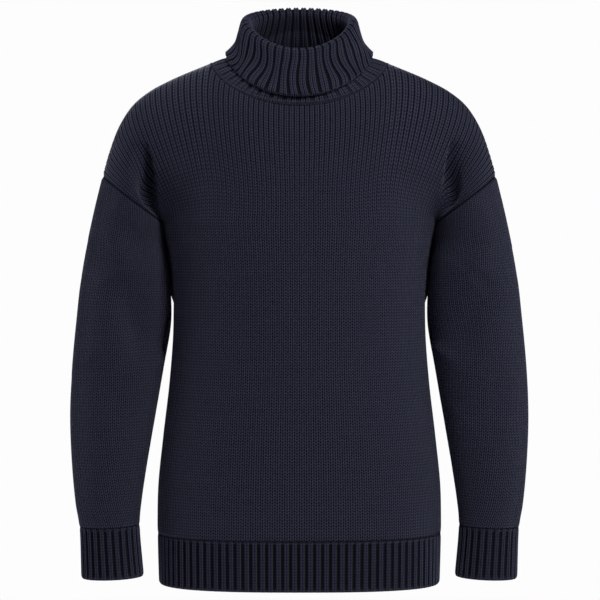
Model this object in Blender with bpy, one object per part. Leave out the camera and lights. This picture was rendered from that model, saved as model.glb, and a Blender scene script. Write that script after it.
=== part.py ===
# Roll-neck sweater in a chunky knit, filled out as it is worn, with nobody in it.
# Metres, +Z up. The front faces -Y and the wearer's left is at +X.
# The origin is between the tops of the shoulders, where the wearer carries it.

import math

import bmesh
import bpy
import numpy as np

FRONT = -1.0
BACK = 1.0
LEFT = 1.0
RIGHT = -1.0

# Cloth.
WALL = 0.003
SEAM_GAP = 0.0003
RIB_HEIGHT = 0.002
# Share of one rib's width, and share of its height: a flat crest, then a flat furrow.
RIB_SHAPE = [(0.0, 0.0), (0.2, 1.0), (0.6, 1.0), (0.8, 0.0)]

# Body, from the hem up to the armpits: z, half width, depth in front, depth behind, squareness.
HEM_BOTTOM = -0.697
HEM_TOP = -0.630
ARMPIT = -0.213
BODY_SECTIONS = [
    (HEM_BOTTOM, 0.1890, 0.122, 0.110, 2.7),
    (-0.621, 0.1907, 0.124, 0.112, 2.6),
    (-0.572, 0.1900, 0.125, 0.113, 2.5),
    (-0.500, 0.1830, 0.126, 0.112, 2.4),
    (-0.427, 0.1746, 0.125, 0.111, 2.3),
    (-0.346, 0.1694, 0.125, 0.113, 2.3),
    (-0.270, 0.1722, 0.127, 0.117, 2.3),
    (ARMPIT, 0.1840, 0.128, 0.119, 2.3),
]

# Top fold of the shoulder, from the neck to the armhole: share of the way, x, z.
SHOULDER_LINE = [
    (0.00, 0.1190, 0.0010),
    (0.07, 0.1340, -0.0050),
    (0.26, 0.1730, -0.0216),
    (0.42, 0.2030, -0.0378),
    (0.54, 0.2230, -0.0540),
    (0.71, 0.2440, -0.0860),
    (0.86, 0.2560, -0.1190),
    (1.00, 0.2650, -0.1510),
]
ARMHOLE_TOP = (0.2650, -0.1510)
ARMHOLE_BOTTOM = (0.1840, ARMPIT)
ARMHOLE_DEPTH = 0.076
# The arm's roundness starts this far across the body panel, where 1 is the armhole.
ARM_START = 0.50
# How sharply the chest's and the arm's roundness meet.
ARM_MEETING = 3
# How the panel curves over to the shoulder's fold, and how much flatter it is at the neckline.
SHOULDER_CURVE = 0.5
NECK_CURVE = 0.4
SECTION_STEPS = 361

# Sleeve and cuff: share of the way down, outer x and z, inner x and z, half depth, middle y.
CUFF_START = 0.875
SLEEVE_SECTIONS = [
    (0.00, 0.2650, -0.151, 0.1840, ARMPIT, 0.0760, 0.000),
    (0.08, 0.2770, -0.200, 0.1825, -0.238, 0.0735, 0.000),
    (0.20, 0.2925, -0.278, 0.1755, -0.285, 0.0710, -0.001),
    (0.32, 0.3003, -0.346, 0.1728, -0.346, 0.0685, -0.003),
    (0.44, 0.3060, -0.412, 0.1826, -0.408, 0.0655, -0.006),
    (0.56, 0.3080, -0.475, 0.1935, -0.472, 0.0605, -0.011),
    (0.68, 0.3048, -0.540, 0.2045, -0.538, 0.0545, -0.018),
    (0.78, 0.2997, -0.589, 0.2115, -0.587, 0.0485, -0.024),
    (CUFF_START, 0.2943, -0.6205, 0.2137, -0.6175, 0.0435, -0.028),
    (1.00, 0.2915, -0.689, 0.2078, -0.686, 0.0420, -0.033),
]

# Roll neck, in the middle of its wall: step along the cloth, half width, depth in front, depth
# behind, then z in front, at the side and behind, and how late it rises from the side to the
# back. It stands up from the seam, folds over and comes down outside.
NECK_SEAM = (0.1190, 0.090, 0.072, -0.058, 0.001, 0.012, 2.5)
COLLAR_SECTIONS = [
    (0, 0.1180, 0.0885, 0.0705, -0.0585, -0.0005, 0.0115, 2.5),
    (1, 0.1050, 0.0810, 0.0650, -0.0430, 0.0040, 0.0230, 3.0),
    (2, 0.0910, 0.0730, 0.0590, -0.0240, 0.0095, 0.0380, 3.0),
    (3, 0.0770, 0.0660, 0.0555, -0.0060, 0.0270, 0.0540, 2.5),
    (4, 0.0690, 0.0600, 0.0545, 0.0060, 0.0450, 0.0670, 1.5),
    (5, 0.0680, 0.0580, 0.0555, 0.0120, 0.0540, 0.0725, 1.0),
    (6, 0.0725, 0.0620, 0.0600, 0.0165, 0.0595, 0.0775, 1.0),
    (7, 0.0762, 0.0680, 0.0660, 0.0120, 0.0550, 0.0730, 1.0),
    (8, 0.0795, 0.0725, 0.0695, -0.0010, 0.0430, 0.0590, 1.2),
    (9, 0.0842, 0.0775, 0.0735, -0.0170, 0.0290, 0.0430, 1.6),
    (10, 0.0915, 0.0845, 0.0795, -0.0320, 0.0200, 0.0280, 2.0),
    (11, 0.0985, 0.0910, 0.0865, -0.0435, 0.0140, 0.0145, 2.0),
]
COLLAR_STEPS = [0, 1, 2, 3, 4, 5, 5.5, 6, 6.5, 7, 8, 9, 10, 11]
COLLAR_RIBBED_INSIDE_FROM = 3
COLLAR_RIBBED_STRIP = 2
# Upward part of the direction out of the neckline seam.
SEAM_RISE_MIDDLE = 0.36
SEAM_RISE_SIDE = 0.96
# How late a neck section falls from the side to the front.
NECK_DROP = 1.25

# Soft folds, seen from the front: face, half of the body, x and z of both ends, width, depth.
BODY_FOLDS = [
    (FRONT, LEFT, 0.204, -0.108, 0.190, -0.190, 0.012, 0.016),
    (FRONT, RIGHT, 0.203, -0.112, 0.190, -0.191, 0.012, 0.017),
    (BACK, LEFT, 0.206, -0.102, 0.191, -0.190, 0.013, 0.016),
    (BACK, RIGHT, 0.205, -0.106, 0.191, -0.189, 0.013, 0.015),
    (FRONT, RIGHT, 0.160, -0.150, 0.154, -0.238, 0.016, 0.0045),
    (FRONT, LEFT, 0.150, -0.140, 0.156, -0.245, 0.017, 0.0045),
    (BACK, LEFT, 0.120, -0.330, 0.060, -0.420, 0.024, 0.006),
    (BACK, RIGHT, 0.130, -0.300, 0.052, -0.395, 0.022, 0.006),
    (BACK, LEFT, 0.135, -0.470, 0.040, -0.520, 0.022, 0.005),
    (BACK, RIGHT, 0.140, -0.440, 0.048, -0.505, 0.024, 0.005),
]
# How far from a seam a fold has its full depth, as a share, and how it starts and ends.
FOLD_FADE = 0.09
FOLD_FADE_CURVE = 1.5
FOLD_END_CURVE = 0.6
SLEEVE_FOLDS = [
    (FRONT, RIGHT, 0.242, -0.197, 0.203, -0.262, 0.014, 0.006),
    (FRONT, LEFT, 0.246, -0.204, 0.206, -0.270, 0.014, 0.006),
    (FRONT, RIGHT, 0.238, -0.290, 0.200, -0.392, 0.015, 0.006),
    (FRONT, LEFT, 0.262, -0.296, 0.196, -0.384, 0.016, 0.006),
    (BACK, RIGHT, 0.250, -0.220, 0.205, -0.300, 0.016, 0.006),
    (BACK, LEFT, 0.246, -0.230, 0.203, -0.306, 0.016, 0.006),
    (BACK, RIGHT, 0.280, -0.350, 0.215, -0.405, 0.014, 0.006),
    (BACK, LEFT, 0.284, -0.342, 0.212, -0.400, 0.014, 0.006),
]

# Mesh density.
SHOULDER_COLUMNS = 7
NECK_COLUMNS = 11
NECK_SPLITS = 6
BODY_ROWS = 9
YOKE_ROWS = 9
SLEEVE_COLUMNS = 24
SLEEVE_ROWS = 14
RIB_ROWS = 2
HEM_RIBS = 50
CUFF_RIBS = 25
COLLAR_RIBS = 44

# Share of the panel's half width that ends in the neckline. The rest ends in the shoulder.
NECK_SHARE = NECK_COLUMNS / (NECK_COLUMNS + 2 * SHOULDER_COLUMNS)
# Columns crowd towards the armhole, where the deepest fold is.
CROWDING = 1.4

BODY_COLOUR = (0.016, 0.019, 0.036, 1.0)
RIB_COLOUR = (0.018, 0.021, 0.040, 1.0)


def clear_scene():
    for old in list(bpy.data.objects):
        bpy.data.objects.remove(old, do_unlink=True)


# Values at one key, on smooth curves through a table's rows.
def follow(table, key):
    rows = np.array(table, float)
    keys = rows[:, 0]
    slopes = np.gradient(rows, keys, axis=0)
    i = int(np.clip(np.searchsorted(keys, key) - 1, 0, len(keys) - 2))
    span = keys[i + 1] - keys[i]
    t = (key - keys[i]) / span
    start = rows[i] * (1 + 2 * t) * (1 - t) ** 2 + slopes[i] * span * t * (1 - t) ** 2
    end = rows[i + 1] * t**2 * (3 - 2 * t) + slopes[i + 1] * span * t**2 * (t - 1)
    return (start + end)[1:]


def unit(vectors):
    return vectors / np.linalg.norm(vectors, axis=-1, keepdims=True)


# Half of a body section, at shares -1 to 1 of its length from side to side.
def body_section(face, z, shares):
    width, front, back, squareness = follow(BODY_SECTIONS, z)
    depth = front if face == FRONT else back
    angle = np.linspace(-math.pi / 2, math.pi / 2, SECTION_STEPS)
    x = width * np.sign(angle) * np.abs(np.sin(angle)) ** (2 / squareness)
    y = depth * np.abs(np.cos(angle)) ** (2 / squareness)
    run = np.concatenate([[0.0], np.cumsum(np.hypot(np.diff(x), np.diff(y)))])
    run = 2 * run / run[-1] - 1
    return np.interp(shares, run, x), np.interp(shares, run, y)


# A closed section of the neck. Angle 0 is the middle of the front and +90 degrees is +X.
def neck_section(values, angle):
    width, front, back, front_z, side_z, back_z, lateness = values
    ahead = np.cos(angle) > 0
    swing = np.abs(np.cos(angle))
    y = np.where(ahead, -front * swing, back * swing)
    front_rise = (front_z - side_z) * swing**NECK_DROP
    back_rise = (back_z - side_z) * swing**lateness
    z = side_z + np.where(ahead, front_rise, back_rise)
    return np.stack([width * np.sin(angle), y, z], axis=-1)


# Outward direction across the neckline seam, between the body's and the collar's own. It turns
# from nearly level in front and behind to nearly upright on the shoulders.
def neck_normal(angle):
    up = SEAM_RISE_MIDDLE + (SEAM_RISE_SIDE - SEAM_RISE_MIDDLE) * np.sin(angle) ** 4
    level = np.sqrt(1 - up**2)
    return np.stack([level * np.sin(angle), -level * np.cos(angle), up], axis=-1)


def neck_angle(face, shares):
    angle = np.arcsin(np.clip(shares / NECK_SHARE, -1.0, 1.0))
    return angle if face == FRONT else math.pi - angle


# Upper edge of a body panel: the neckline, and the shoulder on both sides of it.
def body_top(face, share):
    if abs(share) <= NECK_SHARE:
        return neck_section(NECK_SEAM, neck_angle(face, np.array(share)))
    x, z = follow(SHOULDER_LINE, (abs(share) - NECK_SHARE) / (1 - NECK_SHARE))
    return np.array([math.copysign(x, share), 0.0, z])


# Body panel above the armpits. Rise 0 is the armpit level and 1 the upper edge.
def yoke(face, rise, shares):
    low_x, low_depth = body_section(face, ARMPIT, shares)
    top = np.array([body_top(face, share) for share in shares])
    lag = (1 - math.cos(math.pi * rise)) / 2 - rise
    x = (1 - rise) * low_x + rise * top[:, 0]
    x = x + shares * (ARMHOLE_TOP[0] - ARMHOLE_BOTTOM[0]) * lag
    z = (1 - rise) * ARMPIT + rise * top[:, 2]
    z = z + np.abs(shares) * (ARMHOLE_TOP[1] - ARMPIT) * lag
    curve = SHOULDER_CURVE + NECK_CURVE * np.clip(1 - (shares / NECK_SHARE) ** 2, 0, 1)
    top_depth = np.abs(top[:, 1])
    chest = top_depth + (low_depth - top_depth) * (1 - rise**2) ** curve
    reach = np.clip((np.abs(shares) - ARM_START) / (1 - ARM_START), 0, 1)
    arm = ARMHOLE_DEPTH * math.sin(math.pi * rise) * reach**2 * (3 - 2 * reach)
    depth = (np.abs(chest) ** ARM_MEETING + np.abs(arm) ** ARM_MEETING) ** (1 / ARM_MEETING)
    return np.stack([x, face * depth, z], axis=-1)


# Whole body panel. Level -1 is the hem seam, 0 the armpits and 1 the upper edge.
def body_surface(face, levels, shares):
    rows = []
    for level in levels:
        if level < 0:
            z = ARMPIT + level * (ARMPIT - HEM_TOP)
            x, depth = body_section(face, z, shares)
            rows.append(np.stack([x, face * depth, np.full_like(x, z)], axis=-1))
        else:
            rows.append(yoke(face, level, shares))
    return np.array(rows)


# Sleeve and cuff. Turn 0 is the outer side and 90 degrees the front.
def sleeve_surface(side, downs, turns):
    rows = []
    for down in downs:
        outer_x, outer_z, inner_x, inner_z, depth, middle = follow(SLEEVE_SECTIONS, down)
        x = (outer_x + inner_x) / 2 + np.cos(turns) * (outer_x - inner_x) / 2
        z = (outer_z + inner_z) / 2 + np.cos(turns) * (outer_z - inner_z) / 2
        rows.append(np.stack([side * x, middle - depth * np.sin(turns), z], axis=-1))
    return np.array(rows)


# Outward directions of a grid of points. A ring's first column also closes it.
def grid_normals(points, ring, outward):
    if ring:
        points = np.concatenate([points[:, -1:], points, points[:, :1]], axis=1)
    across = np.gradient(points, axis=1)
    along = np.gradient(points, axis=0)
    normals = unit(np.cross(across, along) * outward)
    return normals[:, 1:-1] if ring else normals


# Points pushed in along their normals where a fold runs, by less towards a seam.
def press_folds(points, normals, folds, side, fade):
    depth = np.zeros(points.shape[:2])
    for fold_face, fold_side, x0, z0, x1, z1, width, deepest in folds:
        if side not in (None, fold_side):
            continue
        start = np.array([fold_side * x0, z0])
        way = np.array([fold_side * x1, z1]) - start
        offset = points[:, :, (0, 2)] - start
        share = np.clip(offset @ way / (way @ way), 0, 1)
        across = np.linalg.norm(offset - share[..., None] * way, axis=-1)
        shape = np.exp(-0.5 * (across / width) ** 2) * np.sin(math.pi * share) ** FOLD_END_CURVE
        facing = points[:, :, 1] * fold_face > 0
        depth += np.where(facing, deepest * shape, 0.0)
    return points - normals * (depth * fade)[..., None]


# Nothing at a seam, and all of a fold's depth a little way from it.
def seam_fade(distance):
    return np.clip(distance / FOLD_FADE, 0, 1) ** FOLD_FADE_CURVE


# Two rows of vertices joined by triangles, cell by cell. Stops mark the columns that both rows
# share. The two faces of a wall are cut along the same diagonals, so one of them is flipped.
def add_band(mesh, lower, upper, lower_stops, upper_stops, flipped):
    for cell in range(len(lower_stops) - 1):
        a = lower[lower_stops[cell]:lower_stops[cell + 1] + 1]
        b = upper[upper_stops[cell]:upper_stops[cell + 1] + 1]
        i = 0
        j = 0
        while i + j < len(a) + len(b) - 2:
            ahead = (2 * i + 1) * (len(b) - 1) - (2 * j + 1) * (len(a) - 1)
            if ahead < 0 or (ahead == 0 and not flipped):
                mesh.faces.new((a[i], a[i + 1], b[j]))
                i += 1
            else:
                mesh.faces.new((a[i], b[j + 1], b[j]))
                j += 1


def add_row(mesh, points, ring):
    row = [mesh.verts.new(point) for point in points]
    return row + row[:1] if ring else row


# Columns that two rows share: all points where their numbers match, else the cells' ends.
def shared_stops(row, other, cells):
    step = 1 if len(row) == len(other) else (len(row) - 1) // cells
    return list(range(0, len(row), step))


def knit_material(name, colour):
    material = bpy.data.materials.new(name)
    material.use_nodes = True
    shader = material.node_tree.nodes["Principled BSDF"]
    shader.inputs["Base Color"].default_value = colour
    shader.inputs["Roughness"].default_value = 0.95
    shader.inputs["Metallic"].default_value = 0.0
    material.diffuse_color = colour
    return material


def finish_piece(mesh, name, colour, collection):
    bmesh.ops.recalc_face_normals(mesh, faces=mesh.faces)
    if mesh.calc_volume(signed=True) < 0:
        bmesh.ops.reverse_faces(mesh, faces=mesh.faces)
    data = bpy.data.meshes.new(name)
    mesh.to_mesh(data)
    mesh.free()
    data.materials.append(knit_material(name + "_knit", colour))
    data.shade_smooth()
    piece = bpy.data.objects.new(name, data)
    collection.objects.link(piece)


# A wall around a loop of rows: up the outside and down the inside. Rows may differ in their
# number of points, but all have the same cells.
def wall_from_rows(rows, cells, ring):
    mesh = bmesh.new()
    made = [add_row(mesh, points, ring) for points in rows]
    for i in range(len(made)):
        row = made[i]
        after = made[(i + 1) % len(made)]
        stops = shared_stops(row, after, cells)
        add_band(mesh, row, after, stops, shared_stops(after, row, cells), i >= len(made) // 2)
    if not ring:
        half = len(made) // 2
        for end in (0, -1):
            for i in range(half - 1):
                outer = [made[i][end], made[i + 1][end]]
                inner = [made[-1 - i][end], made[-2 - i][end]]
                mesh.faces.new(outer + inner[::-1])
    return mesh


# Rows with ribs: each cell is cut into the rib's points, raised along the normals.
def raise_ribs(points, normals, ring):
    if ring:
        points = np.concatenate([points, points[:, :1]], axis=1)
        normals = np.concatenate([normals, normals[:, :1]], axis=1)
    fine = []
    for share, height in RIB_SHAPE:
        place = points[:, :-1] * (1 - share) + points[:, 1:] * share
        raised = unit(normals[:, :-1] * (1 - share) + normals[:, 1:] * share)
        fine.append(place + raised * RIB_HEIGHT * height)
    rows = np.stack(fine, axis=2).reshape(len(points), -1, 3)
    if not ring:
        rows = np.concatenate([rows, points[:, -1:]], axis=1)
    return rows


def panel_shares():
    steps = np.arange(1, SHOULDER_COLUMNS + 1) / SHOULDER_COLUMNS
    side = 1 - (1 - NECK_SHARE) * (1 - steps) ** CROWDING
    neck = np.linspace(-NECK_SHARE, NECK_SHARE, NECK_COLUMNS + 1)
    return np.concatenate([-side[::-1], neck, side])


def armhole_normals(rises, side, face):
    angle = math.pi * rises
    way = np.subtract(ARMHOLE_TOP, ARMHOLE_BOTTOM)
    half = np.linalg.norm(way) / 2
    way = way / (2 * half)
    along = -np.cos(angle) / half
    deep = face * np.sin(angle) / ARMHOLE_DEPTH
    return unit(np.stack([side * along * way[0], deep, along * way[1]], axis=-1))


# Front or back: a panel with its neckline, both shoulders and both sides.
def make_body_panel(name, face, collection):
    shares = panel_shares()
    rises = np.linspace(0, 1, YOKE_ROWS + 1)
    levels = np.concatenate([np.linspace(-1, 0, BODY_ROWS, endpoint=False), rises])
    armpit_row = BODY_ROWS
    outer = body_surface(face, levels, shares)
    normals = grid_normals(outer, False, -face)
    outer = press_folds(outer, normals, BODY_FOLDS, None, seam_fade(1 - np.abs(shares)))
    normals = grid_normals(outer, False, -face)

    normals[0, :, 2] = 0
    normals[:armpit_row + 1, (0, -1), 1] = 0
    shoulder = SHOULDER_COLUMNS
    normals[-1, :shoulder, 1] = 0
    normals[-1, -shoulder:, 1] = 0
    normals = unit(normals)
    for column, side in ((0, RIGHT), (-1, LEFT)):
        normals[armpit_row:, column] = armhole_normals(rises, side, face)
        normals[armpit_row, column] = (0, 0, -1)

    # Half of each seam's gap, off the sides, the shoulders, the hem and the armholes.
    gap = SEAM_GAP / 2
    outer[0, :, 2] += gap
    outer[:armpit_row + 1, (0, -1), 1] = face * gap
    outer[-1, :shoulder + 1, 1] = face * gap
    outer[-1, -shoulder - 1:, 1] = face * gap
    way = unit(np.subtract(ARMHOLE_TOP, ARMHOLE_BOTTOM))
    for column, side in ((0, RIGHT), (-1, LEFT)):
        outer[armpit_row:, column] += gap * np.array([-side * way[1], 0, way[0]])

    # The neckline's last row has more points, so it meets the collar closely.
    first = shoulder
    last = shoulder + NECK_COLUMNS
    angle = neck_angle(face, shares[first:last + 1])
    fine = []
    for i in range(NECK_COLUMNS):
        fine.extend(np.linspace(angle[i], angle[i + 1], NECK_SPLITS, endpoint=False))
    fine = np.array(fine + [angle[-1]])
    edge = neck_section(NECK_SEAM, fine)
    edge[(0, -1), 1] = face * gap
    edge_normals = neck_normal(fine)
    edge_normals[(0, -1), 1] = 0
    edge_normals = unit(edge_normals)
    inner = outer - WALL * normals
    inner_edge = edge - WALL * edge_normals

    mesh = bmesh.new()
    sheets = []
    for grid, neck in ((outer, edge), (inner, inner_edge)):
        rows = [add_row(mesh, points, False) for points in grid[:-1]]
        top = np.concatenate([grid[-1, :first], neck, grid[-1, last + 1:]])
        rows.append(add_row(mesh, top, False))
        sheets.append(rows)
    plain = list(range(len(shares)))
    neck_stops = list(range(first, first + NECK_COLUMNS * NECK_SPLITS + 1, NECK_SPLITS))
    after = [neck_stops[-1] + i for i in range(1, SHOULDER_COLUMNS + 1)]
    cut = list(range(first)) + neck_stops + after
    for rows in sheets:
        for i in range(len(rows) - 2):
            add_band(mesh, rows[i], rows[i + 1], plain, plain, False)
        add_band(mesh, rows[-2], rows[-1], plain, cut, False)
    outside, inside = sheets
    whole = list(range(len(outside[-1])))
    add_band(mesh, outside[0], inside[0], plain, plain, False)
    add_band(mesh, outside[-1], inside[-1], whole, whole, False)
    for end in (0, -1):
        for i in range(len(outside) - 1):
            mesh.faces.new([outside[i][end], outside[i + 1][end], inside[i + 1][end], inside[i][end]])
    finish_piece(mesh, name, BODY_COLOUR, collection)


# Flattens the normals of a sleeve's end into that section's own plane.
def section_plane_normal(points):
    third = len(points) // 3
    return unit(np.cross(points[third] - points[0], points[2 * third] - points[0]))


def level_ends(points, normals, rows):
    for row in rows:
        plane = section_plane_normal(points[row])
        normals[row] = unit(normals[row] - (normals[row] @ plane)[:, None] * plane)
    return normals


def make_sleeve(name, side, collection):
    turns = np.linspace(0, 2 * math.pi, SLEEVE_COLUMNS, endpoint=False)
    downs = np.linspace(0, CUFF_START, SLEEVE_ROWS + 1)
    outer = sleeve_surface(side, downs, turns)
    normals = grid_normals(outer, True, side)
    outer = press_folds(outer, normals, SLEEVE_FOLDS, side, seam_fade(downs)[:, None])
    normals = level_ends(outer, grid_normals(outer, True, side), (0, -1))
    for row, way in ((0, 1), (-1, -1)):
        plane = section_plane_normal(outer[row])
        plane = plane * -math.copysign(1, plane[2])
        outer[row] += plane * way * SEAM_GAP / 2
    inner = outer - WALL * normals
    mesh = wall_from_rows(list(outer) + list(inner[::-1]), SLEEVE_COLUMNS, True)
    finish_piece(mesh, name, BODY_COLOUR, collection)


def make_cuff(name, side, collection):
    turns = np.linspace(0, 2 * math.pi, CUFF_RIBS, endpoint=False)
    downs = np.linspace(CUFF_START, 1.0, RIB_ROWS + 1)
    crests = sleeve_surface(side, downs, turns)
    rows = list(range(RIB_ROWS + 1))
    normals = level_ends(crests, grid_normals(crests, True, side), rows)
    base = crests - RIB_HEIGHT * normals
    plane = section_plane_normal(crests[0])
    base[0] += plane * -math.copysign(1, plane[2]) * SEAM_GAP / 2
    inner = base - WALL * normals
    ribbed = raise_ribs(base, normals, True)
    mesh = wall_from_rows(list(ribbed) + list(inner[::-1]), CUFF_RIBS, True)
    finish_piece(mesh, name, RIB_COLOUR, collection)


def make_hem_rib(name, face, collection):
    shares = np.linspace(-1, 1, HEM_RIBS + 1)
    crests = []
    for z in np.linspace(HEM_BOTTOM, HEM_TOP - SEAM_GAP / 2, RIB_ROWS + 1):
        x, depth = body_section(face, z, shares)
        crests.append(np.stack([x, face * depth, np.full_like(x, z)], axis=-1))
    crests = np.array(crests)
    normals = grid_normals(crests, False, -face)
    normals[:, :, 2] = 0
    normals[:, (0, -1), 1] = 0
    normals = unit(normals)
    base = crests - RIB_HEIGHT * normals
    base[:, (0, -1), 1] = face * SEAM_GAP / 2
    inner = base - WALL * normals
    ribbed = raise_ribs(base, normals, False)
    mesh = wall_from_rows(list(ribbed) + list(inner[::-1]), HEM_RIBS, False)
    finish_piece(mesh, name, RIB_COLOUR, collection)


# The roll neck is one wall. Its ribs show inside the stand, over the fold, on the turned-down
# part, and on the strip of the stand that shows below it.
def make_collar(name, collection):
    angle = np.linspace(-math.pi, math.pi, COLLAR_RIBS, endpoint=False)
    middle = np.array([neck_section(follow(COLLAR_SECTIONS, step), angle) for step in COLLAR_STEPS])
    normals = grid_normals(middle, True, -1)
    shown = middle + normals * WALL / 2
    hidden = middle - normals * WALL / 2

    seam = neck_section(NECK_SEAM, angle)
    seam_normal = neck_normal(angle)
    tangent = np.roll(seam, -1, axis=0) - np.roll(seam, 1, axis=0)
    up = unit(np.cross(seam_normal, tangent))
    up = up * np.sign(up[:, 2:])
    hidden[0] = seam + up * SEAM_GAP
    shown[0] = hidden[0] - WALL * seam_normal
    strip_normals = -normals
    strip_normals[0] = seam_normal

    ribbed_from = COLLAR_STEPS.index(COLLAR_RIBBED_INSIDE_FROM)
    strip = raise_ribs(hidden[:COLLAR_RIBBED_STRIP], strip_normals[:COLLAR_RIBBED_STRIP], True)
    show = raise_ribs(shown[ribbed_from:], normals[ribbed_from:], True)
    rows = list(strip) + list(hidden[COLLAR_RIBBED_STRIP:])
    rows = rows + list(show[::-1]) + list(shown[:ribbed_from][::-1])
    mesh = wall_from_rows(rows, COLLAR_RIBS, True)
    finish_piece(mesh, name, RIB_COLOUR, collection)


def main():
    clear_scene()
    collection = bpy.data.collections.new("submariner_sweater")
    bpy.context.scene.collection.children.link(collection)
    make_body_panel("front", FRONT, collection)
    make_body_panel("back", BACK, collection)
    for side, label in ((LEFT, "left"), (RIGHT, "right")):
        make_sleeve("sleeve_" + label, side, collection)
        make_cuff("cuff_" + label, side, collection)
    make_hem_rib("hem_rib_front", FRONT, collection)
    make_hem_rib("hem_rib_back", BACK, collection)
    make_collar("collar", collection)


main()
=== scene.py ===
# Roll-neck sweater in a chunky knit, filled out as when worn.
# Metres, +Z up. The front faces -Y and the wearer's left is at +X.

import math
from functools import partial

import bmesh
import bpy
import numpy as np
from mathutils import Matrix, Vector


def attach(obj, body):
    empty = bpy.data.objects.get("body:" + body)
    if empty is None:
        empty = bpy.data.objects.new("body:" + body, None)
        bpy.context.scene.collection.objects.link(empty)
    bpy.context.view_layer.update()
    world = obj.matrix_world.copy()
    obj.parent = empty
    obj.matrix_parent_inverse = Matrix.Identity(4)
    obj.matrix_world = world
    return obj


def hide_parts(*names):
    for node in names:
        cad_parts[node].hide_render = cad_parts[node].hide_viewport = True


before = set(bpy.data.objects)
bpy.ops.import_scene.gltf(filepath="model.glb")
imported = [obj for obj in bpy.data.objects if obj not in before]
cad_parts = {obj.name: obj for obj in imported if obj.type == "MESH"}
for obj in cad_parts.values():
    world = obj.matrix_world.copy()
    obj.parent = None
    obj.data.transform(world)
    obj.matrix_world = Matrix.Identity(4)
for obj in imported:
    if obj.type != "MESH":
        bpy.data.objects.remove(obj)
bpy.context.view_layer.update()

frontFace = -1.0
backFace = 1.0
leftSide = 1.0
rightSide = -1.0

cloth = {
    "wall": 0.003,  # thickness of the plain knit
    "seamGap": 0.0003,
    "ribHeight": 0.002,
    "waleWidth": 0.0056,  # one column of stitches
    "courseHeight": 0.0038,  # one row of stitches
    "waleColumns": 4,  # mesh columns across one wale
    "waleShape": (0.0, 1.0, 0.82, 1.0),  # height of a furrow, a leg, the V's middle, a leg
    "waleLevel": 0.6,  # the height that lies on the panel's own surface
    "unevenness": (0.75, 1.2),  # least and most of its usual height that a wale has
    "ribSink": (0.0005, 0.004),  # depth and width of the groove where plain knit meets a rib
    "rimSink": 0.8,  # share of a groove's depth at the rim of a sheet
    "foldFade": 0.09,  # share of the panel from a seam to where a fold has all its depth
    "foldFadeCurve": 1.5,
    "foldLean": 1.2,  # above 1 puts a fold's deepest place past its middle
    "foldBluntness": 0.6,  # below 1 keeps a fold deep nearly to its ends
    "seed": 11,
}

random = np.random.RandomState(cloth["seed"])
tiny = 1e-6  # points closer than this are one point


# Shapes

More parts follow.
